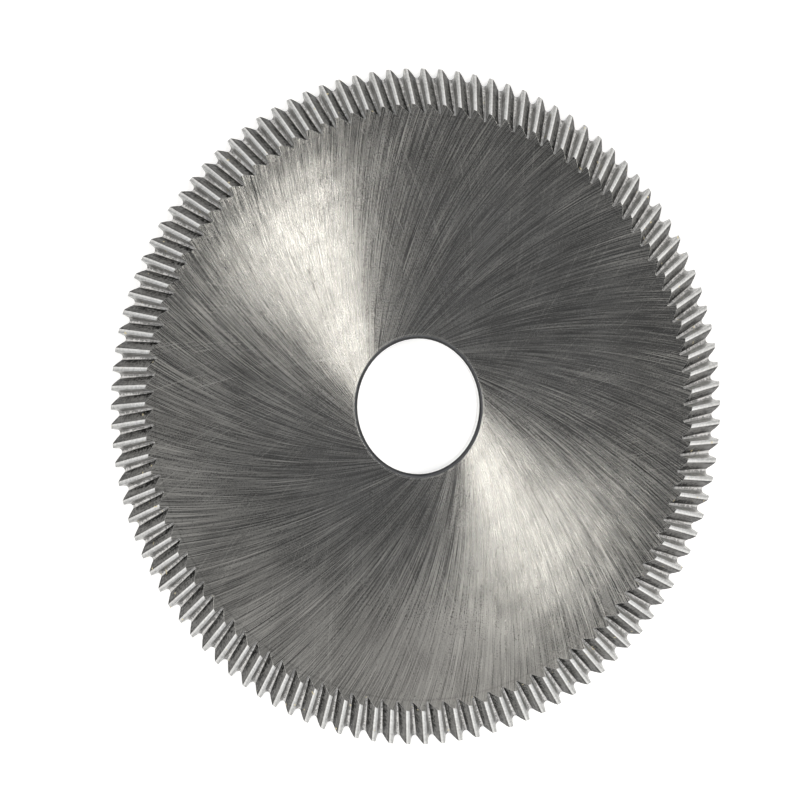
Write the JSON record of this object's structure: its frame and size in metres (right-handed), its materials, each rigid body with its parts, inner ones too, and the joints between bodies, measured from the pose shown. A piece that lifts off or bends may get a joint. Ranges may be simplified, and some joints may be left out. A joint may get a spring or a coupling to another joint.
{
  "type": "key cutting wheel",
  "caption": "Flat steel cutting wheel with a round bore and a ring of fine slanted teeth milled across its bevelled rim.",
  "frame": {"origin": "on the bore's axis, in the plane of the flat back face", "axes": "+Z along the bore's axis, out of the front face that the toothed bevel starts from; +X through the tip of the first tooth"},
  "size_m": [0.08, 0.08, 0.005],
  "materials": {
    "ground_steel": "bright ground steel with fine curved grinding marks"
  },
  "bodies": {
    "root": {"cutting_wheel": "ground_steel"}
  },
  "joints": []
}
